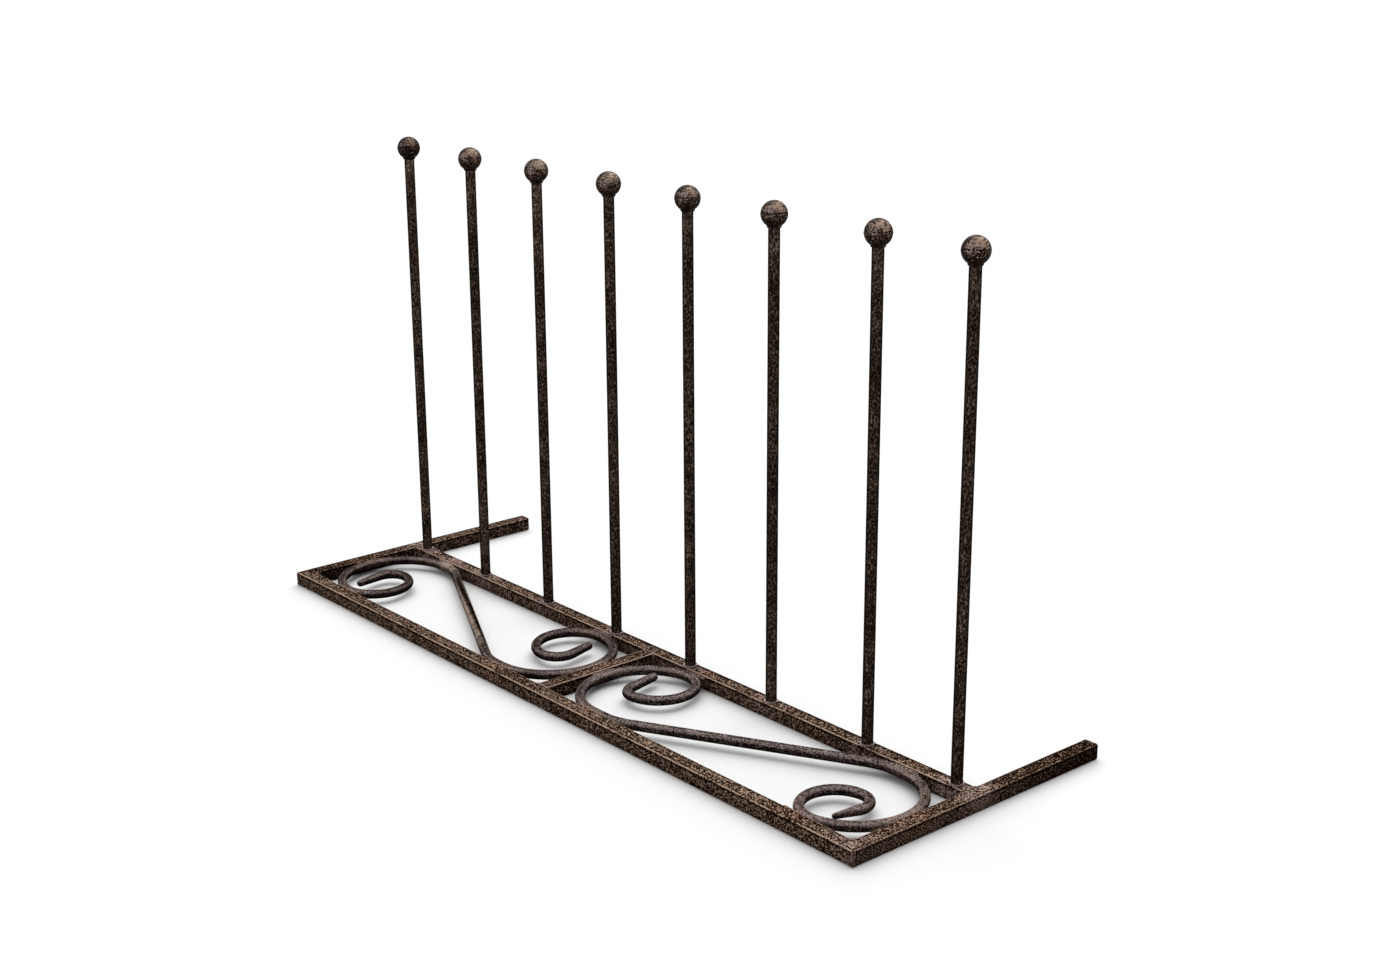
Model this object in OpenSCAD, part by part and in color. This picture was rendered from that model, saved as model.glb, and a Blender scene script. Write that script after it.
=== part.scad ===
// Wrought-iron boot rack: a low welded frame of square tube with a scroll in each bay,
// and a row of ball-topped uprights that screw into the back rail.
// The origin is on the floor at the middle of the frame. X runs along the rack, -Y is the front.
// The curls are bent and the holes drilled by hand, so both have their own sizes from place to place.

/* [Overall size] */
// Width over the two side bars
rack_w = 900; // [700:10:1200]
// Depth from the front rail's face to the rear ends of the side bars
rack_d = 316; // [260:2:450]
// Height from the floor to the top of the balls
rack_h = 500; // [350:5:700]

/* [Square tube] */
// Outside width of the tube
tube_s = 15; // [14:0.5:20]
// Thickness of its wall
tube_wall = 1.2; // [0.8:0.1:1.5]
// Rounding of its long outer edges
tube_edge_r = 1; // [0.4:0.1:1.5]

/* [Base frame] */
// Clear space between the front rail and the back rail
bay_d = 135.5; // [110:0.5:180]
// How far the centre bar stands to the right of the middle
centre_bar_x = 3; // [-15:1:15]

/* [End caps] */
// Thickness of the plate that closes a side bar
cap_t = 1.5; // [1:0.1:3]
// Length of the plug behind the plate
cap_plug_l = 8; // [4:1:15]
// Gap between the plug and the inside of the tube
cap_gap = 0.1; // [0.05:0.05:0.3]

/* [Uprights] */
// How many uprights stand on the back rail
upright_count = 8; // [2:1:8]
// Outside diameter of an upright
upright_d = 11; // [10:0.5:14]
// From the inner face of a side bar to the centre of the nearest upright
upright_end_gap = 15; // [12:0.5:40]
// How far each upright between the two end ones stands to the right of its even place
inner_shift = [0, 0, 0, 0, 0, 10]; // [-20:1:20]

/* [Ball finials] */
// Diameter of a ball
ball_d = 25; // [20:0.5:36]
// Wall of its two pressed halves
ball_wall = 1.5; // [1:0.1:2.5]
// How far the upright reaches into the ball
ball_seat_l = 9; // [6:0.5:9]
// Gap between the upright and the hole in the ball
ball_gap = 0.05; // [0.05:0.05:0.2]
// Thickness of the seam bead round the middle of the ball
seam_d = 0.9; // [0.5:0.1:1.5]
// How far the seam bead stands out of the ball
seam_out = 0.3; // [0.1:0.1:0.4]
// Thickness of the weld bead under the ball
neck_bead_d = 2.6; // [1.5:0.1:4]

/* [Screwed foot] */
// Diameter of the threaded stud, drawn as a plain cylinder
stud_d = 8; // [6:0.5:8]
// Length of the stud inside the upright
stud_up_l = 20; // [10:1:40]
// Length of the stud below the upright's foot
stud_down_l = 11; // [8:0.5:12]
// Gap round the stud in the upright
stud_gap = 0.1; // [0.05:0.05:0.2]
// Gap round the stud in the insert's thread
thread_gap = 0.05; // [0.05:0.05:0.1]

/* [Rail inserts] */
// Diameter of the flange that lies on the back rail
flange_d = 14.4; // [12:0.2:16]
// Thickness of the flange
flange_t = 1.2; // [0.8:0.1:2]
// Diameter of the sleeve inside the rail
sleeve_d = 11; // [10:0.5:12]
// Length of the sleeve below the flange
sleeve_l = 12; // [8:0.5:12]
// Gap round the sleeve in the rail's hole
sleeve_gap = 0.1; // [0.05:0.05:0.2]

/* [Scrolls] */
// Diameter of the round rod that the scrolls are bent from
scroll_d = 10; // [7:0.5:12]
// How far the top of the rod lies below the top of the rails
scroll_drop = 0; // [0:0.5:2]
// Gap between the rod and the bars that it is welded to
scroll_gap = 0.1; // [0.05:0.05:0.3]
// How far the rod swells where one bend ends and the next begins
bend_swell = 0.05; // [0.04:0.01:0.08]
// Where each outer turn ends, in degrees about its centre, for the curls from left to right
outer_turn_end = [94, 91, 106, 107]; // [60:1:120]
// Length of the straight run from each outer turn to the bend into the diagonal
run_l = [6, 10.5, 16.5, 8.5]; // [6:0.5:24]
// Radius of the second turn of each curl
second_turn_r = [36, 37.5, 36.5, 33]; // [30:0.5:42]
// Radius of the small hook inside each curl
hook_r = [18.5, 19, 15, 18]; // [8:0.5:24]
// How far each hook bends, in degrees
hook_bend = [101, 103, 79, 103]; // [60:1:110]
// Length of the straight leg after each hook
leg_l = [28.5, 27, 35, 25.5]; // [15:0.5:50]
// Thickness of each leg at its tip
tip_d = [8, 8.5, 9, 5.5]; // [4:0.5:10]

/* [Hidden] */
UPRIGHTS = [for (i = [1:upright_count]) str("upright_", i)];
FINIALS = [for (i = [1:upright_count]) str("finial_", i)];
$fn = 64;

iron = [0.20, 0.14, 0.11];
iron_worn = [0.30, 0.20, 0.15];
iron_rod = [0.24, 0.19, 0.18];
steel = [0.60, 0.60, 0.58];

front_y = -rack_d / 2;
rear_y = rack_d / 2;
bay_y = front_y + tube_s + bay_d / 2;
back_rail_y = front_y + tube_s + bay_d + tube_s / 2;
side_inner_x = rack_w / 2 - tube_s;
tube_in = tube_s - 2 * tube_wall;
tube_mid_z = tube_s / 2;

foot_z = tube_s + flange_t;
ball_z = rack_h - ball_d / 2;
upright_top_z = ball_z - ball_d / 2 + ball_seat_l;
upright_bore_d = stud_d + 2 * stud_gap;
upright_pitch = 2 * (side_inner_x - upright_end_gap) / (upright_count - 1);
function is_inner(i) = i > 1 && i < upright_count;
function upright_x(i) =
    (i - (upright_count + 1) / 2) * upright_pitch + (is_inner(i) ? inner_shift[i - 2] : 0);

scroll_z = tube_s - scroll_drop - scroll_d / 2;
outer_r = (bay_d - scroll_d) / 2 - scroll_gap;

// Section of the square tube: a square with true round edges
module rounded_square(s, r) {
    square([s, s - 2 * r], center = true);
    square([s - 2 * r, s], center = true);
    for (x = [-1, 1], y = [-1, 1])
        translate([x * (s / 2 - r), y * (s / 2 - r)]) circle(r);
}

module tube_section() {
    difference() {
        rounded_square(tube_s, tube_edge_r);
        square(tube_in, center = true);
    }
}

// A length of tube along X, lying on the floor, centred on its own middle
module tube_x(l) {
    translate([-l / 2, 0, tube_mid_z]) rotate([90, 0, 90]) linear_extrude(l) tube_section();
}

// A length of tube along Y, lying on the floor, from y = 0 to y = l
module tube_y(l) {
    translate([0, l, tube_mid_z]) rotate([90, 0, 0]) linear_extrude(l) tube_section();
}

module front_rail() {
    half = rack_w / 2;
    color(iron_worn) intersection() {
        translate([0, front_y + tube_s / 2, 0]) tube_x(rack_w);
        translate([0, front_y, 0]) linear_extrude(tube_s)
            polygon([[-half, 0], [half, 0], [half - tube_s, tube_s], [tube_s - half, tube_s]]);
    }
}

module back_rail() {
    color(iron) difference() {
        translate([0, back_rail_y, 0]) tube_x(2 * side_inner_x);
        for (i = [1:upright_count])
            translate([upright_x(i), back_rail_y, tube_mid_z])
                cylinder(d = sleeve_d + 2 * sleeve_gap, h = tube_s);
    }
}

module centre_bar() {
    color(iron) translate([centre_bar_x, front_y + tube_s, 0]) tube_y(bay_d);
}

// The left side bar; the right one is its mirror image
module side_bar() {
    bar_l = rack_d - cap_t;
    translate([-rack_w / 2, front_y, 0]) intersection() {
        translate([tube_s / 2, 0, 0]) tube_y(bar_l);
        linear_extrude(tube_s)
            polygon([[0, 0], [tube_s, tube_s], [tube_s, bar_l], [0, bar_l]]);
    }
}

module left_side_bar() { color(iron) side_bar(); }
module right_side_bar() { color(iron_worn) mirror([1, 0, 0]) side_bar(); }

// A plate over the end of the tube with a plug that goes inside it
module end_cap() {
    plug = tube_in - 2 * cap_gap;
    translate([-rack_w / 2 + tube_s / 2, rear_y, tube_mid_z]) rotate([90, 0, 0]) {
        linear_extrude(cap_t) rounded_square(tube_s, tube_edge_r);
        linear_extrude(cap_t + cap_plug_l) square(plug, center = true);
    }
}

module left_end_cap() { color(iron) end_cap(); }
module right_end_cap() { color(iron) mirror([1, 0, 0]) end_cap(); }

// The slight swelling that joins two lengths of rod into one
module bend_knuckle() { sphere(d = scroll_d + 2 * bend_swell); }

// Part of a ring of rod about the origin, from angle a0 to angle a1, with a knuckle at a0
module rod_arc(r, a0, a1) {
    rotate(a0) {
        rotate_extrude(angle = a1 - a0) translate([r, 0]) circle(d = scroll_d);
        translate([r, 0]) bend_knuckle();
    }
}

// The straight end of a curl, which narrows to a round tip
module leg(k) {
    cylinder(d1 = scroll_d, d2 = tip_d[k], h = leg_l[k]);
    translate([0, 0, leg_l[k]]) sphere(d = tip_d[k]);
}

// One curl about the centre of its outer turn, from the diagonal's end inwards
module curl(k, slope) {
    a = outer_turn_end[k];
    r2 = second_turn_r[k];
    r3 = hook_r[k];
    leg_a = -90 - hook_bend[k];
    translate([run_l[k], 0]) rod_arc(outer_r, 270, 270 + slope);
    translate([0, -outer_r]) {
        rotate([0, 90, 0]) cylinder(d = scroll_d, h = run_l[k]);
        bend_knuckle();
    }
    rod_arc(outer_r, a, 270);
    translate((outer_r - r2) * [cos(a), sin(a)]) {
        rod_arc(r2, -90, a);
        translate([0, r3 - r2]) {
            rod_arc(r3, leg_a, -90);
            translate(r3 * [cos(leg_a), sin(leg_a)]) rotate([90, 0, leg_a]) leg(k);
        }
    }
}

// A scroll that fills the bay from x0 to x1, its diagonal rising to the right
module scroll(x0, x1, left_k, right_k) {
    apart = x1 - x0 - scroll_d - 2 * scroll_gap - 2 * outer_r;
    bends_apart = apart - run_l[left_k] - run_l[right_k];
    slope = asin(2 * outer_r / bends_apart);
    diagonal_l = bends_apart * cos(slope);
    translate([(x0 + x1) / 2, 0, 0]) {
        translate([(run_l[left_k] - run_l[right_k]) / 2, 0]) rotate([0, 90, slope]) {
            cylinder(d = scroll_d, h = diagonal_l, center = true);
            for (end = [-1, 1]) translate([0, 0, end * diagonal_l / 2]) bend_knuckle();
        }
        translate([-apart / 2, 0, 0]) curl(left_k, slope);
        rotate(180) translate([-apart / 2, 0, 0]) curl(right_k, slope);
    }
}

module left_scroll() {
    color(iron_rod) translate([0, bay_y, scroll_z]) mirror([0, 1, 0])
        scroll(-side_inner_x, centre_bar_x - tube_s / 2, 0, 1);
}

module right_scroll() {
    color(iron_rod) translate([0, bay_y, scroll_z])
        scroll(centre_bar_x + tube_s / 2, side_inner_x, 2, 3);
}

// A flanged insert with its sleeve through the rail's top wall
module rail_insert() {
    difference() {
        union() {
            translate([0, 0, tube_s]) cylinder(d = flange_d, h = flange_t);
            translate([0, 0, tube_s - sleeve_l]) cylinder(d = sleeve_d, h = sleeve_l);
        }
        cylinder(d = stud_d + 2 * thread_gap, h = tube_s + 2 * flange_t);
    }
}

module rail_inserts() {
    color(steel) for (i = [1:upright_count])
        translate([upright_x(i), back_rail_y, 0]) rail_insert();
}

module upright_studs() {
    color(steel) for (i = [1:upright_count])
        translate([upright_x(i), back_rail_y, foot_z - stud_down_l])
            cylinder(d = stud_d, h = stud_down_l + stud_up_l);
}

module upright(i) {
    color(iron) translate([upright_x(i), back_rail_y, foot_z]) difference() {
        cylinder(d = upright_d, h = upright_top_z - foot_z);
        translate([0, 0, -1]) cylinder(d = upright_bore_d, h = upright_top_z - foot_z + 2);
    }
}

// A hollow ball with its seam bead, and a weld bead where it meets the upright
module finial(i) {
    hole_r = upright_d / 2 + ball_gap;
    neck_z = -sqrt(pow(ball_d / 2, 2) - pow(hole_r, 2));
    color(iron) translate([upright_x(i), back_rail_y, ball_z]) difference() {
        union() {
            sphere(d = ball_d);
            rotate_extrude() translate([(ball_d - seam_d) / 2 + seam_out, 0]) circle(d = seam_d);
            rotate_extrude() translate([hole_r, neck_z]) circle(d = neck_bead_d);
        }
        sphere(d = ball_d - 2 * ball_wall);
        translate([0, 0, -ball_d]) cylinder(r = hole_r, h = ball_d);
    }
}

front_rail();
back_rail();
centre_bar();
left_side_bar();
right_side_bar();
left_end_cap();
right_end_cap();
left_scroll();
right_scroll();
rail_inserts();
upright_studs();
for (i = [1:upright_count]) {
    upright(i);
    finial(i);
}
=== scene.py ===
# %% [markdown]
# # A wrought-iron boot rack in an antique bronze coat
# The rack is a flat welded frame of square tube with a scroll in each of its two bays. Eight uprights,
# each with a ball on top, screw into the back rail. The shapes of all these pieces come from the packed
# frame. This lesson adds what a welder and a coater add: the weld beads where the pieces meet, and a
# near-black bronze coat with copper rubbed through it.

# %% [markdown]
# ## Load the frame
# The frame is loaded first, because every size and place below is read from it.

# %% Load the frame
import bpy
import math
import random
from mathutils import Matrix, Vector


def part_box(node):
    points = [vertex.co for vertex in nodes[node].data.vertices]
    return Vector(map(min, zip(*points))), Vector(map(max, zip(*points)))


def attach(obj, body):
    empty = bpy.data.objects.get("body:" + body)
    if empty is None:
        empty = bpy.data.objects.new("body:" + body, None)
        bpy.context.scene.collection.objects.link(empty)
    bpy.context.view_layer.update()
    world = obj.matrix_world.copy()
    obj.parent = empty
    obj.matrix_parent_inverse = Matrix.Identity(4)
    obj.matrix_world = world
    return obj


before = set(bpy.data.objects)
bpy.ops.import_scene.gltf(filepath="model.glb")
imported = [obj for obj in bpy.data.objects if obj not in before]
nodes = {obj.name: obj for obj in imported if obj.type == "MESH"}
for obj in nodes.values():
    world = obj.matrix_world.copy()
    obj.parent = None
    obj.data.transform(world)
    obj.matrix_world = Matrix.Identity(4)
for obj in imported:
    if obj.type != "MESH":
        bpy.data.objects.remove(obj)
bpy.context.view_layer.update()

# %% [markdown]
# ## Read the frame's main places
# A maker marks out a rack from a few lines: the faces of the rails, the middle of the tube and the row of
# uprights. The same lines are read here once and used by name afterwards.

# %% The lines that everything else is set out from
MM = 0.001
front_low, front_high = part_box("front_rail")
back_low, back_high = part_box("back_rail")
centre_low, centre_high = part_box("centre_bar")
tube = front_high.z - front_low.z
tube_mid_z = tube / 2
front_face_y = front_low.y
bay_front_y = front_high.y
bay_back_y = back_low.y
rail_y = (back_low.y + back_high.y) / 2
side_inner_x = back_high.x
side_outer_x = front_high.x
upright_names = sorted(name for name in nodes if name.startswith("upright_") and name[-1].isdigit())
upright_xs = [sum(corner.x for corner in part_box(name)) / 2 for name in upright_names]
print("tube:", round(tube / MM, 2), "mm; uprights at", [round(x / MM) for x in upright_xs])

# %% [markdown]
# ## The camera
# The photograph looks down on the rack from the front right. The camera's place and direction were worked
# out from the straight edges of the frame. It has no shift and no depth of field, so other views work too.

# %% Camera at the photograph's viewing angle
IMAGE_W = 1400
SENSOR_MM = 36
FOCAL_PX = 1980.3
CAMERA_PLACE = Vector((1.4752, -1.1998, 0.7809))
AZIMUTH = math.radians(49.385)
ELEVATION = math.radians(17.089)
ROLL = math.radians(-0.278)

lens = bpy.data.cameras.new("photo_lens")
lens.sensor_width = SENSOR_MM
lens.sensor_fit = "HORIZONTAL"
lens.lens = FOCAL_PX * SENSOR_MM / IMAGE_W
lens.clip_end = 200
camera = bpy.data.objects.new("photo_camera", lens)
bpy.context.scene.collection.objects.link(camera)
turn = Matrix.Rotation(AZIMUTH, 4, "Z") @ Matrix.Rotation(math.pi / 2 - ELEVATION, 4, "X")
camera.matrix_world = Matrix.Translation(CAMERA_PLACE) @ turn @ Matrix.Rotation(ROLL, 4, "Z")
bpy.context.scene.camera = camera
print("lens:", round(lens.lens, 2), "mm")

# %% [markdown]
# ## Small helpers for numbers
# A procedural material is a chain of nodes, and most of them do sums. Each kind of sum gets a short
# function, so that the recipe of the coat reads like a recipe. A helper takes plain numbers as well as
# sockets, and returns the socket that holds its result.

# %% Node helpers: sums and distances
def plug_in(tree, socket, given):
    """Links a socket, or sets a plain number or colour."""
    if isinstance(given, bpy.types.NodeSocket):
        tree.links.new(given, socket)
    else:
        socket.default_value = given


def sum_of(tree, operation, first, second=0.0):
    """One Math node."""
    node = tree.nodes.new("ShaderNodeMath")
    node.operation = operation
    plug_in(tree, node.inputs[0], first)
    plug_in(tree, node.inputs[1], second)
    return node.outputs[0]


def plus(tree, first, second):
    """The first number and the second together."""
    return sum_of(tree, "ADD", first, second)


def minus(tree, first, second):
    """The first number less the second."""
    return sum_of(tree, "SUBTRACT", first, second)


def times(tree, first, second):
    """The two numbers multiplied."""
    return sum_of(tree, "MULTIPLY", first, second)


def apart(tree, first, second):
    """How far two numbers lie apart."""
    return sum_of(tree, "ABSOLUTE", minus(tree, first, second))


def measure(tree, operation, place, fixed):
    """DISTANCE from a fixed point, or DOT_PRODUCT: how far a place lies along a fixed direction."""
    node = tree.nodes.new("ShaderNodeVectorMath")
    node.operation = operation
    tree.links.new(place, node.inputs[0])
    node.inputs[1].default_value = fixed
    return node.outputs["Value"]


print("number helpers ready")

# %% [markdown]
# ## Small helpers for noise and colour
# Three more kinds of link make the look itself: a noise of a known real size, a soft threshold that turns
# noise into patches, and a blend of two colours.

# %% Node helpers: noise, thresholds and colours
def noise(tree, place, grain, detail=2.0, stretch=(1, 1, 1)):
    """Noise whose blobs are about grain metres across, drawn out along an axis by stretch."""
    mapping = tree.nodes.new("ShaderNodeMapping")
    mapping.inputs["Scale"].default_value = [1 / s for s in stretch]
    tree.links.new(place, mapping.inputs["Vector"])
    node = tree.nodes.new("ShaderNodeTexNoise")
    node.inputs["Scale"].default_value = 1 / grain
    node.inputs["Detail"].default_value = detail
    tree.links.new(mapping.outputs[0], node.inputs["Vector"])
    return node.outputs["Fac"]


def threshold(tree, given, low, high):
    """0 below low, 1 above high, and smooth between them. With low above high it falls instead."""
    node = tree.nodes.new("ShaderNodeMapRange")
    node.interpolation_type = "SMOOTHSTEP"
    plug_in(tree, node.inputs["Value"], given)
    plug_in(tree, node.inputs["From Min"], low)
    plug_in(tree, node.inputs["From Max"], high)
    return node.outputs["Result"]


def blend_colour(tree, share, first, second):
    """The first colour where share is 0, the second where it is 1."""
    node = tree.nodes.new("ShaderNodeMix")
    node.data_type = "RGBA"
    plug_in(tree, node.inputs["Factor"], share)
    for socket, given in zip((node.inputs[6], node.inputs[7]), (first, second)):
        plug_in(tree, socket, given if isinstance(given, bpy.types.NodeSocket) else (*given, 1))
    return node.outputs[2]


print("noise and colour helpers ready")

# %% [markdown]
# ## Where the coat is rubbed, and where light and shade are painted
# The coat wears by place: along the edges of the square tube, and round each weld and foot, where the metal
# was heated and brushed. Other masks paint light and shade into the colour: highlights on the edges and on
# the upper side of round pieces, and shade beside edges, under the balls and in crevices. Each of these is
# a mask from 0 to 1 that depends only on the place on the rack, so it stays put in every view. A mask is
# written as a function that adds its nodes to a material, so that one recipe can take any list of masks.

# %% Masks along an axis and round a point
def axis_values(tree, place):
    """The x, y and z of the place, as three sockets."""
    node = tree.nodes.new("ShaderNodeSeparateXYZ")
    tree.links.new(place, node.inputs[0])
    return node.outputs[0], node.outputs[1], node.outputs[2]


def span_mask(axis, start, end):
    """Grows from 0 at start to 1 at end along an axis: 0 is x, 1 is y, 2 is z."""
    def build(tree, place):
        return threshold(tree, axis_values(tree, place)[axis], start, end)
    return build


def near_mask(points, reach, core=0.3):
    """1 near each of the points, fading to 0 at reach. core is the share of the reach before it fades."""
    def build(tree, place):
        nearest = measure(tree, "DISTANCE", place, points[0])
        for point in points[1:]:
            nearest = sum_of(tree, "MINIMUM", nearest, measure(tree, "DISTANCE", place, point))
        return minus(tree, 1.0, threshold(tree, nearest, reach * core, reach))
    return build


print("mask helpers ready")

# %% [markdown]
# ## The edges of a square tube
# The two upper edges of a tube are rubbed bright, partly by wear and partly as a painted highlight. A line
# of painted shade lies beside each edge, darker on the side faces than on the top. All of it is measured
# inwards from the tube's outer faces, so one mask fits every tube.

# %% Rubbed edges and the painted shade lines beside them
EDGE_BAND = (1.2 * MM, 0.8 * MM)
EDGE_SHADE_BAND = (4.0 * MM, 2.2 * MM)
SIDE_BAND = (0.1 * MM, 0.5 * MM)
TOP_EDGE_SHADE = 0.6


def inward_band(tree, outward, band):
    """Grows from 0 to 1 between two depths inside the tube's face."""
    start, end = band
    return threshold(tree, outward, tube / 2 - start, tube / 2 - end)


def edge_masks(tree, place, across, middle):
    """1 on the two upper edges of a square tube, and how dark the painted shade line beside each edge is.

    across is the axis across the tube, 0 for x and 1 for y, and middle the middle of the tube on it."""
    values = axis_values(tree, place)
    side = apart(tree, values[across], middle)
    rise = minus(tree, values[2], tube_mid_z)
    nearest = sum_of(tree, "MINIMUM", side, rise)
    edges = inward_band(tree, nearest, EDGE_BAND)
    near_edges = inward_band(tree, nearest, EDGE_SHADE_BAND)
    below_top = inward_band(tree, rise, SIDE_BAND)
    depth = plus(tree, times(tree, below_top, 1 - TOP_EDGE_SHADE), TOP_EDGE_SHADE)
    return edges, times(tree, minus(tree, near_edges, edges), depth)


print("edge band:", [round(v / MM, 2) for v in EDGE_BAND], "mm inside the faces")

# %% [markdown]
# ## How rubbed a place is, with painted light
# Up close the coat is a hammered near-black brown. Copper specks of about a millimetre stand on it where
# the high grains were rubbed, thicker in some patches than in others. So one number is worked out first:
# the rub, from grains, fine grains, patches and clouds of noise, and then from the masks, which add wear
# and also painted highlights and painted shade. On round pieces the rim, where the surface turns away
# from the view, is darkened as painted shade.

# %% One number for the rub and the painted light
GRAIN_WEIGHT = 1.5
FINE_WEIGHT = 0.6
PATCH_WEIGHT = 0.3
CLOUD_WEIGHT = 0.25
EDGE_BREAKS = 30 * MM
BREAK_BAND = (0.2, 0.5)
EDGE_SHADE_DARK = 0.32
RIM_SHADE_BAND = (0.2, 0.6)


def rub_and_light_of(tree, place, level, parts, wear_and_light, edge, rim_shade):
    """How rubbed a place is, with the masks' painted light and shade added. level is its mean, and parts are
    noises with their weights.
    """
    rub_and_light = level - sum(weight for _, weight in parts) / 2
    for part, weight in parts:
        rub_and_light = plus(tree, times(tree, part, weight), rub_and_light)
    for mask, amount in wear_and_light:
        rub_and_light = plus(tree, rub_and_light, times(tree, mask(tree, place), amount))
    # The edges get wear and a painted highlight, and the line beside them painted shade.
    if edge:
        across, middle, edge_wear_and_highlight = edge
        edges, edge_shade_line = edge_masks(tree, place, across, middle)
        broken = times(tree, edges, threshold(tree, noise(tree, place, EDGE_BREAKS), *BREAK_BAND))
        rub_and_light = plus(tree, rub_and_light, times(tree, broken, edge_wear_and_highlight))
        rub_and_light = minus(tree, rub_and_light, times(tree, edge_shade_line, EDGE_SHADE_DARK))
    # Painted shade: the rim of a round piece is darkened where it turns away from the view.
    if rim_shade:
        facing = tree.nodes.new("ShaderNodeLayerWeight").outputs["Facing"]
        rub_and_light = minus(tree, rub_and_light, times(tree, threshold(tree, facing, *RIM_SHADE_BAND), rim_shade))
    return rub_and_light


print("weights of the noises:", GRAIN_WEIGHT, FINE_WEIGHT, PATCH_WEIGHT, CLOUD_WEIGHT)

# %% [markdown]
# ## The colours of the coat
# The rub picks one of four shades, from the hollows to the highest grains. Their bands overlap, so that the
# colours run into each other. Where metal was heated or handled, a tint lies over the shades in ragged
# patches. On the balls and on the left scroll some tints are painted highlights, and the lilac one on the
# balls is a painted reflection.

# %% Four shades and the tints over them
BROWN_BAND = (0.22, 0.52)
COPPER_BAND = (0.42, 0.68)
PALE_BAND = (0.60, 0.90)
RAGGED_BAND = (0.35, 0.6)
BRONZE = ((0.009, 0.004, 0.0016), (0.060, 0.029, 0.015), (0.23, 0.137, 0.088), (0.54, 0.39, 0.30))
LILAC = ((0.005, 0.003, 0.003), (0.037, 0.025, 0.022), (0.14, 0.103, 0.094), (0.42, 0.34, 0.32))


def shade_of(tree, place, rub_and_light, shades, patches, tints):
    """The colour for the rub, and how much copper is in it."""
    hollow_shade, brown, copper, pale = shades
    brown_share = threshold(tree, rub_and_light, *BROWN_BAND)
    copper_share = threshold(tree, rub_and_light, *COPPER_BAND)
    colour = blend_colour(tree, brown_share, hollow_shade, brown)
    colour = blend_colour(tree, copper_share, colour, copper)
    ragged = times(tree, threshold(tree, patches, *RAGGED_BAND), brown_share)
    for mask, tint in tints:
        colour = blend_colour(tree, times(tree, ragged, mask(tree, place)), colour, tint)
    return blend_colour(tree, threshold(tree, rub_and_light, *PALE_BAND), colour, pale), copper_share


print("shades in a coat:", len(BRONZE))

# %% [markdown]
# ## The antique bronze coat
# The noise of grains is used for the colour, the shine and the bump, so that the bright specks are also the
# raised and polished ones. The coat is almost matt, because a gloss would turn the tops of the tubes grey.

# %% The recipe of the coat
CLOUD = 110 * MM
FINE_SHARE = 0.4
FINE_HEIGHT = 0.4
MATT = 0.5
SATIN = 0.42
COPPER_POLISH = 0.12
COPPER_METAL = 0.12
BUMP_STRENGTH = 0.9


def bronze_coat(name, shades, level, relief, grain=1.5 * MM, edge=None, wear_and_light=(), tints=(),
                along=(1, 1, 1), rough=MATT, spread=1.0, gloss=0.0, rim_shade=0.0, patch=20 * MM):
    """A coat in four shades, from the hollows to the highest grains. level sets how rubbed it is.

    wear_and_light is a list of masks for wear and for painted light and shade, with how much each adds to
    the rub, tints one of masks with their colours. rim_shade darkens the rim as painted shade. spread is the
    contrast of the grains, relief the depth of the bump, and patch the size of the patches."""
    material = bpy.data.materials.new(name)
    material.use_nodes = True
    tree = material.node_tree
    shader = tree.nodes["Principled BSDF"]
    place = tree.nodes.new("ShaderNodeTexCoord").outputs["Object"]
    grains = noise(tree, place, grain, 2.0, along)
    fine = noise(tree, place, grain * FINE_SHARE, 1.0)
    patches = noise(tree, place, patch, 3.0)
    clouds = noise(tree, place, CLOUD, 2.0)
    parts = [(grains, GRAIN_WEIGHT * spread), (fine, FINE_WEIGHT * spread), (patches, PATCH_WEIGHT),
             (clouds, CLOUD_WEIGHT)]
    rub_and_light = rub_and_light_of(tree, place, level, parts, wear_and_light, edge, rim_shade)
    colour, copper_share = shade_of(tree, place, rub_and_light, shades, patches, tints)
    roughness = minus(tree, rough, times(tree, copper_share, COPPER_POLISH))
    tree.links.new(colour, shader.inputs["Base Color"])
    tree.links.new(roughness, shader.inputs["Roughness"])
    tree.links.new(times(tree, copper_share, COPPER_METAL), shader.inputs["Metallic"])
    shader.inputs["Specular IOR Level"].default_value = gloss
    bump = tree.nodes.new("ShaderNodeBump")
    bump.inputs["Strength"].default_value = BUMP_STRENGTH
    bump.inputs["Distance"].default_value = relief
    tree.links.new(plus(tree, grains, times(tree, fine, FINE_HEIGHT)), bump.inputs["Height"])
    tree.links.new(bump.outputs[0], shader.inputs["Normal"])
    return material


def coat_node(name, material):
    """Puts the material in every slot of a node of the frame."""
    mesh = nodes[name].data
    mesh.materials.clear()
    mesh.materials.append(material)


print("coat recipe ready")

# %% [markdown]
# ## Where the curls touch the frame
# The scrolls are welded to the frame wherever a curl touches it: at a rail in front, at a rail behind and
# at a bar beside it. The middle of each curl is found from the box of its scroll, because the outer turn is
# a true half circle there. The coat is rubbed to copper round these contacts, and the welds follow later.

# %% The contacts of the curls
def curl_contacts(scroll, side_sign):
    """The front, rear and side contacts of the curl at the left (-1) or right (1) end of a scroll."""
    low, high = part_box(scroll)
    turn_r = (high.y - low.y) / 2
    middle_y = (high.y + low.y) / 2
    wall_x = low.x if side_sign < 0 else high.x
    middle_x = wall_x - side_sign * turn_r
    return {"front": (middle_x, low.y), "rear": (middle_x, high.y), "side": (wall_x, middle_y)}


contacts = {}
for scroll in ("left_scroll", "right_scroll"):
    for side_sign in (-1, 1):
        contacts[scroll, side_sign] = curl_contacts(scroll, side_sign)
rod_low, rod_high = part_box("left_scroll")
rod_mid_z = (rod_low.z + rod_high.z) / 2
touch_points = [(x, y, rod_mid_z) for curl in contacts.values() for x, y in curl.values()]
print("contacts:", len(touch_points))

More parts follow.
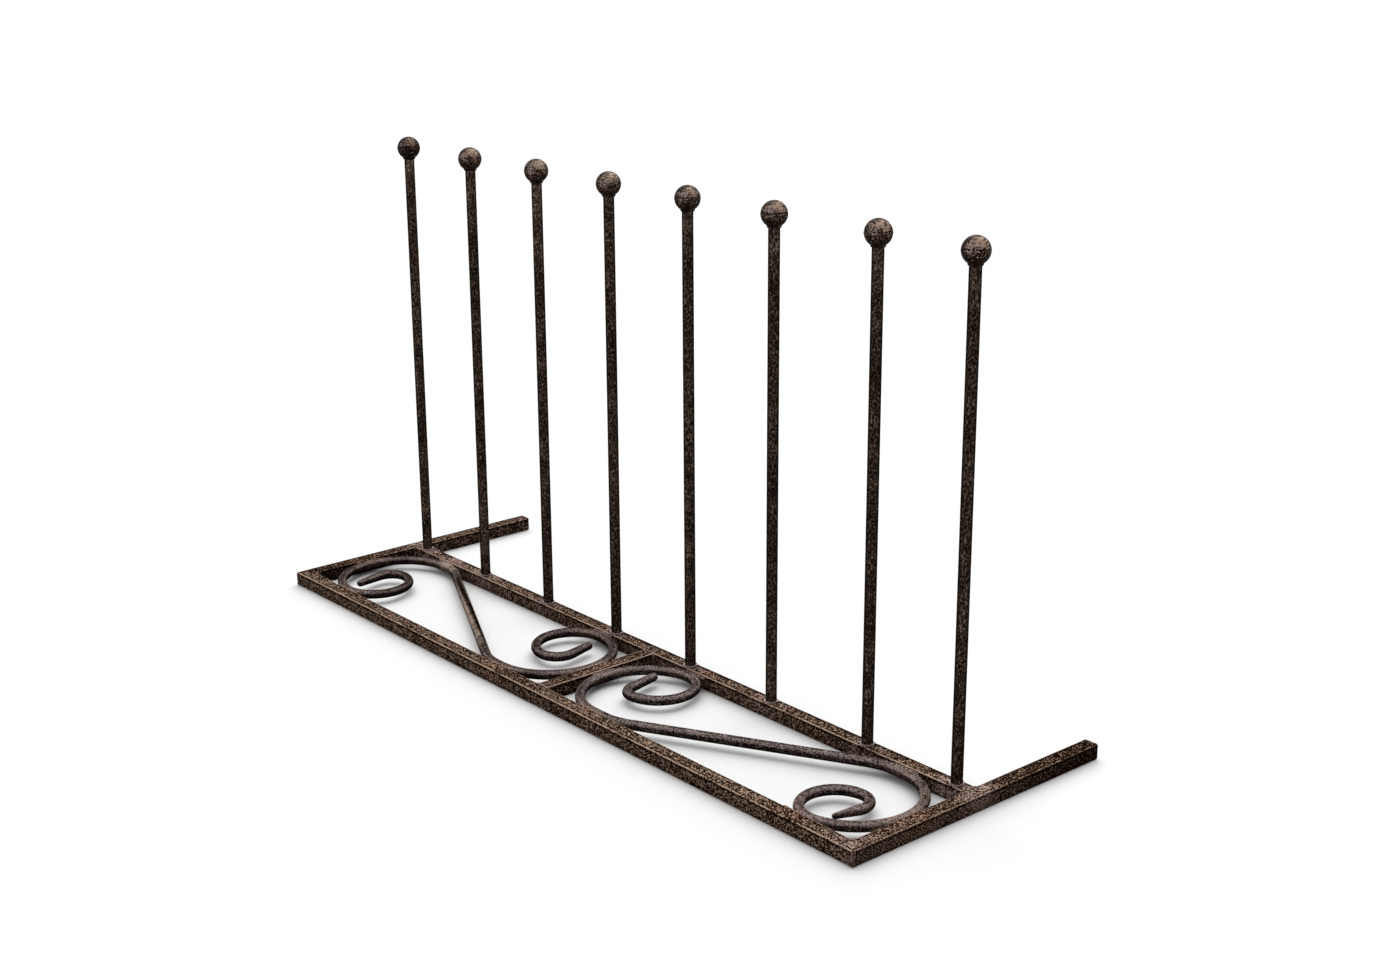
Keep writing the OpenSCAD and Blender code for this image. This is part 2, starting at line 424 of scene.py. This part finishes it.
# %% [markdown]
# ## Heated places on the frame
# Metal that was heated for a weld is brushed afterwards, so the coat is thin and pinkish there: round the
# foot of each upright, at both ends of the back rail and in the right front corner. The heat spread
# furthest from the first two feet and at the right end of the rail. The points lie a little above the tube,
# so that the masks reach furthest on its top face.

# %% Points where the metal was heated
HEAT_RISE = 6 * MM
hot_z = tube + HEAT_RISE
feet = [(x, rail_y, tube) for x in upright_xs]
hot_feet = [(x, rail_y, hot_z) for x in upright_xs]
hot_joints = [(-side_inner_x, rail_y, hot_z), (side_inner_x, rail_y, hot_z),
              (side_inner_x, bay_front_y, hot_z)]
hot_stretch = [((upright_xs[0] + upright_xs[1]) / 2, rail_y, hot_z)]
hottest = [hot_feet[0], hot_feet[1], hot_feet[-1], hot_joints[1]] + hot_stretch
print("heated places:", len(hot_feet) + len(hot_joints) + len(hot_stretch))

# %% [markdown]
# ## Rubbed and dark places on the frame
# Besides the heated places, the frame is brushed round the contacts of the curls. A line of painted shade
# lies in the crevice round each foot, and the tube darkens towards the floor, partly as less wear and partly
# as painted shade. It is also darker along the rear edge of the back rail's top, on the front half of the
# left side bar and on the rear end of the right one.

# %% Masks for the frame
PINK = (0.24, 0.152, 0.146)
PALE_PINK = (0.32, 0.208, 0.208)
WARM = (0.21, 0.095, 0.055)
heated = near_mask(hot_feet + hot_joints, 28 * MM)
end_feet = near_mask(hottest, 34 * MM)
brushed = near_mask(touch_points, 30 * MM)
# Painted shade in the crevice round each foot; darker towards the floor, partly less wear, partly painted
# shade.
foot_shade_lines = near_mask(feet, 9.8 * MM, 0.8)
low_wear_and_shade = span_mask(2, tube * 0.4, 0)
rear_dark = span_mask(1, rail_y - 10 * MM, rail_y + 90 * MM)
front_dark = span_mask(1, rail_y, front_face_y + 60 * MM)
back_edge_dark = span_mask(1, rail_y + 1.5 * MM, rail_y + 6 * MM)
frame_wear_and_shade = [(brushed, 0.03), (heated, 0.06), (end_feet, 0.16), (foot_shade_lines, -0.35), (low_wear_and_shade, -0.08)]
frame_tints = [(brushed, WARM), (heated, PINK), (end_feet, PALE_PINK)]
print("masks on every tube:", len(frame_wear_and_shade))

# %% [markdown]
# ## Coats for the square tubes
# Each tube lies along X or along Y, and its rubbed edges are found from the middle of its section. So each
# tube gets its own copy of the coat, drawn out a little along the tube, as a brush draws it. The edges of
# the rails and the centre bar are lighter, partly by wear and partly as a painted highlight, and those of
# the side bars less. The grain is 2/25 of the tube, so that the top face cuts the noise midway between two
# of its lattice planes, where its contrast is highest.

# %% Coat the square tubes
CRISP = 0.80
CALM = 0.40
ALONG_X = (1.4, 1, 1)
ALONG_Y = (1, 1.4, 1)
frame_recipe = {"shades": BRONZE, "grain": tube / 12.5, "spread": 2.6, "relief": 0.64 * MM,
                "wear_and_light": frame_wear_and_shade, "tints": frame_tints}
back_recipe = dict(frame_recipe, wear_and_light=frame_wear_and_shade + [(back_edge_dark, -0.25)])
left_recipe = dict(frame_recipe, wear_and_light=frame_wear_and_shade + [(front_dark, -0.24)])
right_recipe = dict(frame_recipe, wear_and_light=frame_wear_and_shade + [(rear_dark, -0.22)])
front_edge = (1, front_face_y + tube / 2, CRISP)
back_edge = (1, rail_y, CRISP)
bar_edge = (0, (centre_low.x + centre_high.x) / 2, CRISP)
left_edge = (0, -side_outer_x + tube / 2, CALM)
right_edge = (0, side_outer_x - tube / 2, CALM)

# For each tube: its recipe, how rubbed it is, where its edges are, and the way that it was brushed.
tubes = {
    "front_rail": (frame_recipe, 0.335, front_edge, ALONG_X),
    "back_rail": (back_recipe, 0.305, back_edge, ALONG_X),
    "centre_bar": (frame_recipe, 0.215, bar_edge, ALONG_Y),
    "left_side_bar": (left_recipe, 0.28, left_edge, ALONG_Y),
    "right_side_bar": (right_recipe, 0.31, right_edge, ALONG_Y),
    "left_end_cap": (frame_recipe, 0.28, left_edge, ALONG_Y),
    "right_end_cap": (right_recipe, 0.31, right_edge, ALONG_Y),
}
for name, (recipe, level, edge, along) in tubes.items():
    coat_node(name, bronze_coat(name + "_coat", level=level, edge=edge, along=along, **recipe))
print("coated:", ", ".join(tubes))

# %% [markdown]
# ## Rubbed places on the scrolls
# Round rod takes the coat more evenly than square tube: the scrolls are a smoother, purplish brown. A
# painted highlight lies along the upper flank of the rod and a line of painted shade on its very top, and
# copper shows at the contacts.

# %% Masks for the rods
TOUCH_COPPER = (0.10, 0.056, 0.037)
rod_r = (rod_high.z - rod_low.z) / 2
touched = near_mask(touch_points, 36 * MM)
# Painted highlight along the upper flank, and painted shade on the very top of the rod.
highlight_band = span_mask(2, rod_mid_z + rod_r * 0.15, rod_mid_z + rod_r * 0.55)
top_shade_line = span_mask(2, rod_mid_z + rod_r * 0.78, rod_mid_z + rod_r * 0.95)
scroll_wear_and_light = [(highlight_band, 0.30), (top_shade_line, -0.12), (touched, 0.08)]
scroll_recipe = {"shades": LILAC, "level": 0.39, "grain": 1.3 * MM, "relief": 0.48 * MM, "rough": SATIN,
                 "rim_shade": 0.12, "patch": 8 * MM}
print("rod:", round(2 * rod_r / MM, 2), "mm")

# %% [markdown]
# ## The left diagonal
# The long diagonal of the left scroll has a painted highlight on its front flank, and a stripe of painted
# shade beside it. A flank is found by its distance from the rod's middle line, measured level and square to
# the rod. The diagonal touches both outer turns like a crossed belt on two wheels, so its lean follows from
# the box of the scroll.

# %% Flanks of the left diagonal
def flank_mask(point, way, start, end):
    """Grows from 0 at start to 1 at end, both measured from the point along the level direction way."""
    def build(tree, place):
        middle = Vector(point).dot(Vector(way))
        return threshold(tree, measure(tree, "DOT_PRODUCT", place, way), middle + start, middle + end)
    return build


def both(first, second):
    """1 where two masks are both 1."""
    def build(tree, place):
        return times(tree, first(tree, place), second(tree, place))
    return build


left_low, left_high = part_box("left_scroll")
left_mid_x = (left_low.x + left_high.x) / 2
left_mid_y = (left_low.y + left_high.y) / 2
left_middle = (left_mid_x, left_mid_y, rod_mid_z)
turn_r = (left_high.y - left_low.y) / 2
lean = math.asin((turn_r - rod_r) / ((left_high.x - left_low.x) / 2 - turn_r))
front_way = (-math.sin(lean), -math.cos(lean), 0)
left_diagonal = near_mask([left_middle], 110 * MM, 0.7)
# Painted highlight on the front flank, and a stripe of painted shade beside it.
front_flank_highlight = both(left_diagonal, flank_mask(left_middle, front_way, 2.0 * MM, 4.0 * MM))
stripe = both(flank_mask(left_middle, front_way, 2.4 * MM, 0.6 * MM),
              flank_mask(left_middle, front_way, -3.8 * MM, -1.6 * MM))
painted_shade_stripe = both(left_diagonal, stripe)
print("lean of the left diagonal:", round(math.degrees(lean), 1), "degrees")

# %% [markdown]
# ## Coats for the scrolls
# Both scrolls share one recipe. The left one has a painted highlight on its first bend and on the front
# flank of its diagonal, which is also warmer in tone, and the right one is lighter on its last turn, where
# it is handled most.

# %% Coat the scrolls
rear_x, rear_y = contacts["left_scroll", -1]["rear"]
# Painted highlight on the first bend.
first_bend_highlight = near_mask([(rear_x + 12 * MM, rear_y - 8 * MM, rod_high.z)], 24 * MM)
left_curl = near_mask([(rear_x, left_mid_y, rod_mid_z)], 80 * MM, 0.8)
right_front = near_mask([(*contacts["right_scroll", 1]["front"], rod_mid_z)], 60 * MM)
right_turn = near_mask([(*contacts["right_scroll", 1]["side"], rod_mid_z)], 70 * MM)
left_light_and_shade = [(first_bend_highlight, 0.16), (left_curl, -0.03), (front_flank_highlight, 0.14), (painted_shade_stripe, -0.30)]
left_tints = [(touched, TOUCH_COPPER), (first_bend_highlight, (0.30, 0.22, 0.155)),
              (left_diagonal, (0.13, 0.084, 0.052)), (front_flank_highlight, (0.30, 0.22, 0.145))]
right_worn = [(right_front, 0.04), (right_turn, 0.07)]
right_tints = [(touched, TOUCH_COPPER), (right_turn, (0.19, 0.125, 0.09)),
               (right_front, (0.15, 0.095, 0.085))]
left_scroll_coat = bronze_coat(
    "left_scroll_coat", wear_and_light=scroll_wear_and_light + left_light_and_shade, tints=left_tints, spread=0.8, **scroll_recipe)
right_scroll_coat = bronze_coat(
    "right_scroll_coat", wear_and_light=scroll_wear_and_light + right_worn, tints=right_tints, spread=1.1, **scroll_recipe)
coat_node("left_scroll", left_scroll_coat)
coat_node("right_scroll", right_scroll_coat)
print("coated: left_scroll, right_scroll")

# %% [markdown]
# ## A coat for the uprights
# The uprights are darker than the frame, with fine specks drawn out along the rod. A little under each ball
# they are lighter, because that is where a hand takes hold of them. Their rims are darkened as painted
# shade.

# %% Coat the uprights
UPRIGHT_SHADES = ((0.007, 0.004, 0.002), (0.046, 0.029, 0.020), (0.16, 0.112, 0.088), BRONZE[3])
ball_low, ball_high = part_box(upright_names[0].replace("upright", "finial"))
ball_z = ball_high.z - (ball_high.x - ball_low.x) / 2
ball_r = ball_high.z - ball_z
held = span_mask(2, ball_z - 70 * MM, ball_z - 25 * MM)
upright_coat = bronze_coat(
    "upright_coat", UPRIGHT_SHADES, 0.455, grain=1.4 * MM, relief=0.48 * MM, along=(1, 1, 1.8), spread=0.9,
    gloss=0.01, rim_shade=0.30, wear_and_light=[(held, 0.08)])
for name in upright_names:
    coat_node(name, upright_coat)
print("coated uprights:", len(upright_names), "with balls of", round(2 * ball_r / MM, 1), "mm")

# %% [markdown]
# ## Marks on a ball
# Each ball was pressed in two halves, welded and polished while it turned. That leaves a dark seam line a
# little above the middle and fine level rings, and both are broken here and there. The seam is one thin
# line at a height, and the rings are a sine wave along the height, which noise pushes to and fro.

# %% Masks for the seam and the rings
def line_mask(level, half):
    """1 on a thin level line round a piece, broken here and there, fading to 0 at half its width."""
    def build(tree, place):
        away = apart(tree, axis_values(tree, place)[2], level)
        line = minus(tree, 1.0, threshold(tree, away, half * 0.4, half))
        return times(tree, line, threshold(tree, noise(tree, place, 7 * MM), 0.35, 0.6))
    return build


def turned_rings(pitch):
    """Level lines a pitch apart, broken up by noise, as a polishing belt leaves them on a turning ball."""
    def build(tree, place):
        phase = times(tree, axis_values(tree, place)[2], 2 * math.pi / pitch)
        wander = times(tree, noise(tree, place, 14 * MM), 8.0)
        lines = threshold(tree, sum_of(tree, "SINE", plus(tree, phase, wander)), 0.2, 0.9)
        return times(tree, lines, threshold(tree, noise(tree, place, 5 * MM), 0.4, 0.6))
    return build


RING_PITCH = 2.4 * MM
seam_z = ball_z + 2.3 * MM
seam = line_mask(seam_z, 0.9 * MM)
rings = turned_rings(RING_PITCH)
print("seam at", round(seam_z / MM, 1), "mm")

# %% [markdown]
# ## A coat for the balls
# The balls are handled most. Their tops are lighter, partly rubbed to copper and partly as a painted
# highlight. A tan patch on the right is a painted highlight and a lilac one in front a painted reflection,
# and their undersides are darkened as painted shade. The first ball is darker than the others.

# %% Coat the balls
BALL_SHADES = (BRONZE[0], (0.060, 0.033, 0.024), (0.21, 0.132, 0.095), (0.55, 0.42, 0.34))
LILAC_REFLECTION = (0.32, 0.235, 0.27)
TAN_HIGHLIGHT = (0.42, 0.265, 0.165)
# Painted highlight and painted reflection on each ball, and painted shade under it.
lilac_reflection_places = [(x + 0.38 * ball_r, rail_y - 0.87 * ball_r, ball_z + 0.30 * ball_r) for x in upright_xs]
tan_highlight_places = [(x + 0.70 * ball_r, rail_y - 0.08 * ball_r, ball_z + 0.68 * ball_r) for x in upright_xs]
ball_top_rub_and_light = span_mask(2, ball_z - 2 * MM, ball_z + 8 * MM)
ball_underside_shade = span_mask(2, ball_z, ball_z - 8 * MM)
first_ball = near_mask([(upright_xs[0], rail_y, ball_z)], 30 * MM, 0.7)
tan_highlights = near_mask(tan_highlight_places, 10 * MM)
ball_marks_and_light = [(ball_top_rub_and_light, 0.08), (ball_underside_shade, -0.26), (first_ball, -0.22), (seam, -0.35), (rings, 0.18),
             (tan_highlights, 0.25), (near_mask(lilac_reflection_places, 8 * MM), 0.16)]
ball_highlight_tints = [(near_mask(lilac_reflection_places, 7 * MM), LILAC_REFLECTION), (tan_highlights, TAN_HIGHLIGHT)]
ball_coat = bronze_coat(
    "ball_coat", BALL_SHADES, 0.42, grain=1.4 * MM, relief=0.6 * MM, rough=SATIN, spread=1.7, gloss=0.02,
    rim_shade=0.28, patch=5 * MM, wear_and_light=ball_marks_and_light, tints=ball_highlight_tints)
for name in upright_names:
    coat_node(name.replace("upright", "finial"), ball_coat)
print("coated balls:", len(upright_names))

# %% [markdown]
# ## A coat for the inserts
# The flange of each insert shows as a thin pale ring at the foot of its upright. Its shades are much
# lighter than the others, which paints a highlight on the flange's rim.

# %% Coat the inserts
# The pale shades are a painted highlight on the flange's rim.
INSERT_HIGHLIGHT_SHADES = ((0.12, 0.075, 0.075), (0.32, 0.235, 0.23), (0.46, 0.36, 0.35), (0.58, 0.48, 0.47))
insert_coat = bronze_coat(
    "insert_coat", INSERT_HIGHLIGHT_SHADES, 0.57, grain=1.6 * MM, relief=0.4 * MM, rough=SATIN)
coat_node("rail_inserts", insert_coat)
print("coated: rail_inserts")

# %% [markdown]
# ## Zinc on the studs
# The studs are plain zinc-plated steel and are hidden inside. They still get their own finish, so that a
# rack taken apart looks right. The noise is stretched short along the stud, like the grooves of a thread.

# %% Zinc on the studs
zinc = bpy.data.materials.new("stud_zinc")
zinc.use_nodes = True
zinc_tree = zinc.node_tree
zinc_shader = zinc_tree.nodes["Principled BSDF"]
zinc_place = zinc_tree.nodes.new("ShaderNodeTexCoord").outputs["Object"]
zinc_grains = noise(zinc_tree, zinc_place, 2 * MM, 3.0, (1, 1, 0.2))
zinc_colour = blend_colour(zinc_tree, zinc_grains, (0.42, 0.42, 0.41), (0.62, 0.62, 0.60))
zinc_tree.links.new(zinc_colour, zinc_shader.inputs["Base Color"])
zinc_shader.inputs["Metallic"].default_value = 1.0
zinc_shader.inputs["Roughness"].default_value = 0.35
coat_node("upright_studs", zinc)
print("coated: upright_studs")

# %% [markdown]
# ## Weld beads
# The welder ran a short bead wherever two pieces meet. A bead is a row of drops that flowed together, so
# it is modelled like one: small balls are set along a line, joined, remeshed into one skin and smoothed.
# A tube with a noisy surface would look too even, and the drops give the true uneven outline.

# %% A bead of weld, drop by drop
VOXEL = 0.5 * MM
WELD_SHADES = (BRONZE[0], (0.085, 0.044, 0.029), (0.24, 0.145, 0.105), LILAC[3])
chance = random.Random(7)


def add_drops(start, end, drop_r, count):
    """Balls along a line, each a little off it and a little larger or smaller. Returns the objects."""
    made = []
    for step in range(count):
        share = step / max(count - 1, 1)
        jitter = Vector([chance.uniform(-0.12, 0.12) * drop_r for _ in range(3)])
        place = Vector(start).lerp(Vector(end), share) + jitter
        bpy.ops.mesh.primitive_ico_sphere_add(
            subdivisions=2, radius=drop_r * chance.uniform(0.85, 1.1), location=place)
        made.append(bpy.context.object)
    return made


def melt(name, drops, material, voxel=VOXEL, flow_steps=3):
    """Joins drops into one smooth skin that rides with the frame."""
    bpy.ops.object.select_all(action="DESELECT")
    for drop in drops:
        drop.select_set(True)
    bpy.context.view_layer.objects.active = drops[0]
    bpy.ops.object.join()
    piece = bpy.context.object
    piece.name = piece.data.name = name
    bpy.ops.object.transform_apply(location=True, rotation=True, scale=True)
    skin = piece.modifiers.new("skin", "REMESH")
    skin.mode = "VOXEL"
    skin.voxel_size = voxel
    bpy.ops.object.modifier_apply(modifier=skin.name)
    flow = piece.modifiers.new("flow", "SMOOTH")
    flow.factor = 0.5
    flow.iterations = flow_steps
    bpy.ops.object.modifier_apply(modifier=flow.name)
    bpy.ops.object.shade_smooth()
    piece.data.materials.append(material)
    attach(piece, "root")
    print(name, "faces:", len(piece.data.polygons))


weld_coat = bronze_coat(
    "weld_coat", WELD_SHADES, 0.50, grain=2.0 * MM, relief=0.48 * MM, rough=SATIN, gloss=0.1)
print("weld helpers ready")

# %% [markdown]
# ## Welds of the square tubes
# Where a tube butts against another, there is a low bead across the top and a thicker one down each inner
# corner. The bead across the top was ground nearly flat, so its drops are sunk deep into the joint.

# %% Welds where the back rail and the centre bar butt
TOP_R = 2.6 * MM
TOP_SINK = 1.9 * MM
TOP_DROPS = 9
CORNER_R = 2.3 * MM
CORNER_OUT = 0.9 * MM
CORNER_END = 2.5 * MM
CORNER_DROPS = 7


def butt_welds(joint_x=None, joint_y=None, sides=(), into=1):
    """Drops for a butt joint at a plane of x or y, with the tube's two sides given on the other axis.

    into is the way from the joint along the tube that butts, 1 or -1 on the axis of the plane."""
    low, high = sides
    top_z = tube - TOP_SINK
    drops = []
    for side, out in ((low, -1), (high, 1)):
        corner = side + out * CORNER_OUT
        face = (joint_y if joint_x is None else joint_x) + into * CORNER_OUT
        where = (corner, face) if joint_x is None else (face, corner)
        drops += add_drops((*where, CORNER_END), (*where, tube - CORNER_END), CORNER_R, CORNER_DROPS)
    if joint_x is None:
        drops += add_drops((low, joint_y, top_z), (high, joint_y, top_z), TOP_R, TOP_DROPS)
    else:
        drops += add_drops((joint_x, low, top_z), (joint_x, high, top_z), TOP_R, TOP_DROPS)
    return drops


rail_sides = (back_low.y, back_high.y)
bar_sides = (centre_low.x, centre_high.x)
for side, sign in (("left", -1), ("right", 1)):
    drops = butt_welds(joint_x=sign * side_inner_x, sides=rail_sides, into=-sign)
    melt(side + "_rail_weld", drops, weld_coat)
melt("bar_front_weld", butt_welds(joint_y=bay_front_y, sides=bar_sides), weld_coat)
melt("bar_rear_weld", butt_welds(joint_y=bay_back_y, sides=bar_sides, into=-1), weld_coat)

# %% [markdown]
# ## Welds of the scrolls
# At each contact the bead lies in the groove between the round rod and the flat wall. It is longest at the
# front, where the welder could reach best.

# %% Welds where the curls touch the frame
GROOVE_R = 2.3 * MM
GROOVE_OUT = 1.6 * MM
GROOVE_LOW = 3.0 * MM
BEADS = {"front": (34 * MM, 17), "rear": (26 * MM, 17), "side": (22 * MM, 11)}


def curl_welds(curl, side_sign):
    """Drops for the three contacts of one curl."""
    z = tube - GROOVE_LOW
    drops = []
    for key, into in (("front", 1), ("rear", -1)):
        length, count = BEADS[key]
        x, wall_y = curl[key]
        y = wall_y + into * GROOVE_OUT
        drops += add_drops((x - length / 2, y, z), (x + length / 2, y, z), GROOVE_R, count)
    length, count = BEADS["side"]
    wall_x, y = curl["side"]
    x = wall_x - side_sign * GROOVE_OUT
    return drops + add_drops((x, y - length / 2, z), (x, y + length / 2, z), GROOVE_R, count)


for scroll in ("left_scroll", "right_scroll"):
    drops = curl_welds(contacts[scroll, -1], -1) + curl_welds(contacts[scroll, 1], 1)
    melt(scroll + "_welds", drops, weld_coat)

# %% [markdown]
# ## The filled front corners
# The two mitred corners at the front are filled on the inside, so that the bay ends in a round corner. The
# fill is a block in the corner with a round bite taken out of it. It starts as a cube, a cylinder cuts it,
# and its edges are softened with a bevel.

# %% Fill the inner corners of the mitres
LEFT_FILL = 7 * MM
RIGHT_FILL = 10 * MM
FILL_SUNK = 0.4 * MM
FILL_H = tube - 1.2 * MM


def corner_fill(name, sign, size):
    """A concave fill in the front corner on the left (-1) or right (1). size is the radius of its bite."""
    corner = Vector((sign * (side_inner_x + FILL_SUNK), bay_front_y - FILL_SUNK, tube_mid_z))
    whole = size + FILL_SUNK
    bpy.ops.object.select_all(action="DESELECT")
    bpy.ops.mesh.primitive_cylinder_add(
        vertices=48, radius=size, depth=tube * 2, location=corner + Vector((-sign * whole, whole, 0)))
    cutter = bpy.context.object
    bpy.ops.object.select_all(action="DESELECT")
    bpy.ops.mesh.primitive_cube_add(size=1, location=corner + Vector((-sign * whole / 2, whole / 2, 0)))
    fill = bpy.context.object
    fill.name = fill.data.name = name
    fill.scale = (whole, whole, FILL_H)
    bpy.ops.object.transform_apply(location=True, rotation=True, scale=True)
    bite = fill.modifiers.new("bite", "BOOLEAN")
    bite.object = cutter
    bite.solver = "EXACT"
    bpy.ops.object.modifier_apply(modifier=bite.name)
    bpy.data.objects.remove(cutter)
    soft = fill.modifiers.new("soft", "BEVEL")
    soft.width = 0.5 * MM
    soft.segments = 3
    bpy.ops.object.modifier_apply(modifier=soft.name)
    bpy.ops.object.shade_smooth_by_angle(angle=math.radians(40))
    fill.data.materials.append(weld_coat)
    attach(fill, "root")
    print(name, "faces:", len(fill.data.polygons))


corner_fill("left_corner_fill", -1, LEFT_FILL)
corner_fill("right_corner_fill", 1, RIGHT_FILL)

# %% [markdown]
# ## Blunt outer corners
# The outer edge of each mitre was welded too and ground back, so the corner is blunt. Its drops are sunk
# until only a rounded edge stands a little out of the two faces.

# %% Weld the outer edges of the mitres
EDGE_R = 1.9 * MM
EDGE_SINK = 1.0 * MM
EDGE_TOP = 1.4 * MM
EDGE_DROPS = 14
for side, sign in (("left", -1), ("right", 1)):
    x = sign * (side_outer_x - EDGE_SINK)
    y = front_face_y + EDGE_SINK
    drops = add_drops((x, y, EDGE_R), (x, y, tube - EDGE_TOP), EDGE_R, EDGE_DROPS)
    melt(side + "_mitre_weld", drops, weld_coat)

# %% [markdown]
# ## Spatter
# Welding throws small drops of metal that stick to the faces nearby, and the coat goes over them. They catch
# the light as bright specks beside the joints. Each one stands out by a millimetre or less.

# %% Drops of spatter beside the joints
SPATTER_R = 0.9 * MM
SPATTER_SHADES = (BRONZE[0], (0.12, 0.08, 0.066), (0.34, 0.25, 0.21), BRONZE[3])
JOINT_REACH = 45 * MM
FOOT_REACH = 25 * MM
EDGE_CLEAR = 3 * MM
JOINT_COUNT = 9
FRONT_COUNT = 7
CORNER_COUNT = 5
FOOT_COUNT = 4


def scatter(low, high, count):
    """Single drops at chance places on an upright face, between two points of the floor plan."""
    low = (*low, EDGE_CLEAR)
    high = (*high, tube - EDGE_CLEAR)
    made = []
    for _ in range(count):
        place = [chance.uniform(low[axis], high[axis]) for axis in range(3)]
        made += add_drops(place, place, SPATTER_R * chance.uniform(0.7, 1.1), 1)
    return made


drops = []
for sign in (-1, 1):
    face_x = sign * side_outer_x
    end_x = sign * (side_outer_x - JOINT_REACH)
    drops += scatter((face_x, rail_y - JOINT_REACH), (face_x, rail_y + JOINT_REACH), JOINT_COUNT)
    drops += scatter((end_x, front_face_y), (face_x, front_face_y), FRONT_COUNT)
    drops += scatter((face_x, front_face_y), (face_x, front_face_y + JOINT_REACH), CORNER_COUNT)
for x in upright_xs:
    drops += scatter((x - FOOT_REACH, back_low.y), (x + FOOT_REACH, back_low.y), FOOT_COUNT)
spatter_coat = bronze_coat("spatter_coat", SPATTER_SHADES, 0.56, relief=0.2 * MM, rough=0.38, gloss=0.3)
melt("weld_spatter", drops, spatter_coat, voxel=0.25 * MM, flow_steps=1)

# %% [markdown]
# ## The floor
# The floor is large and pale. It keeps the soft shadow of the rack for the camera and for reflections, while
# light that bounces up from it is held back, because the photograph's lower faces are dark.

# %% A plain pale floor
FLOOR_SIZE = 60
FLOOR_SINK = 0.3 * MM
SEEN_GREY = 0.97
BOUNCED_GREY = 0.3


def seen_rays(tree):
    """1 for rays that show something to the camera, straight or by reflection, and 0 for light."""
    rays = tree.nodes.new("ShaderNodeLightPath")
    mirrored = sum_of(tree, "MAXIMUM", rays.outputs["Is Glossy Ray"], rays.outputs["Is Transmission Ray"])
    return sum_of(tree, "MAXIMUM", rays.outputs["Is Camera Ray"], mirrored)


def matt_paint(tree, grey):
    """A matt shader in one grey."""
    node = tree.nodes.new("ShaderNodeBsdfDiffuse")
    node.inputs["Color"].default_value = (grey, grey, grey, 1)
    return node.outputs[0]


bpy.ops.object.select_all(action="DESELECT")
bpy.ops.mesh.primitive_plane_add(size=FLOOR_SIZE, location=(0, 0, -FLOOR_SINK))
floor = bpy.context.object
floor.name = "floor"
floor_paint = bpy.data.materials.new("floor_paint")
floor_paint.use_nodes = True
floor_tree = floor_paint.node_tree
floor_tree.nodes.remove(floor_tree.nodes["Principled BSDF"])
pick = floor_tree.nodes.new("ShaderNodeMixShader")
floor_tree.links.new(seen_rays(floor_tree), pick.inputs[0])
floor_tree.links.new(matt_paint(floor_tree, BOUNCED_GREY), pick.inputs[1])
floor_tree.links.new(matt_paint(floor_tree, SEEN_GREY), pick.inputs[2])
floor_tree.links.new(pick.outputs[0], floor_tree.nodes["Material Output"].inputs["Surface"])
floor.data.materials.append(floor_paint)
print("floor:", FLOOR_SIZE, "m across")

# %% [markdown]
# ## Light
# The photograph has soft light and no hard shadows. The tops of the tubes are lighter than their fronts,
# their right sides are darkest, and a shadow of about the tube's own height lies in front and to the right.
# So a large soft light stands above and behind on the left. A faint dome with a weak glow in front fills
# the rest. The camera and reflections see plain white beyond the floor.

# %% A faint dome with a glow in front
HORIZON = 0.035
OVERHEAD = 0.47
GLOW = 0.5
GLOW_BAND = (0.6, 1.0)
GLOW_WAY = Vector((0.10, -0.80, 0.40)).normalized()
world = bpy.data.worlds.new("dome")
bpy.context.scene.world = world
world.use_nodes = True
world_tree = world.node_tree
background = world_tree.nodes["Background"]
background.inputs["Color"].default_value = (1, 1, 1, 1)
direction = world_tree.nodes.new("ShaderNodeTexCoord").outputs["Generated"]
height = sum_of(world_tree, "MAXIMUM", axis_values(world_tree, direction)[2], 0.0)
overhead = times(world_tree, times(world_tree, height, height), OVERHEAD)
toward_glow = measure(world_tree, "DOT_PRODUCT", direction, GLOW_WAY)
glow = times(world_tree, threshold(world_tree, toward_glow, *GLOW_BAND), GLOW)
dome = plus(world_tree, plus(world_tree, overhead, glow), HORIZON)
strength = sum_of(world_tree, "MAXIMUM", dome, seen_rays(world_tree))
world_tree.links.new(strength, background.inputs["Strength"])
print("dome: horizon", HORIZON, "overhead", HORIZON + OVERHEAD)

# %% [markdown]
# ## The main light
# The main light is a sun lamp with a very wide angle, which acts like a large round softbox far away. A
# softbox near the rack would light its near end more than its far end, and the photograph shows both alike.

# %% The large soft light
SOFTBOX_ENERGY = 2.95
SOFTBOX_ANGLE = math.radians(84)
SOFTBOX_WAY = Vector((-0.42, 0.46, 0.78))
softbox_data = bpy.data.lights.new("softbox", "SUN")
softbox_data.energy = SOFTBOX_ENERGY
softbox_data.angle = SOFTBOX_ANGLE
softbox = bpy.data.objects.new("softbox", softbox_data)
bpy.context.scene.collection.objects.link(softbox)
softbox.rotation_euler = SOFTBOX_WAY.to_track_quat("Z", "Y").to_euler()
print("soft light from", [round(v, 2) for v in SOFTBOX_WAY])

# %% [markdown]
# ## Finish
# The view transform is Standard, so that a colour renders as it is written.

# %% Finish
bpy.context.scene.view_settings.view_transform = "Standard"
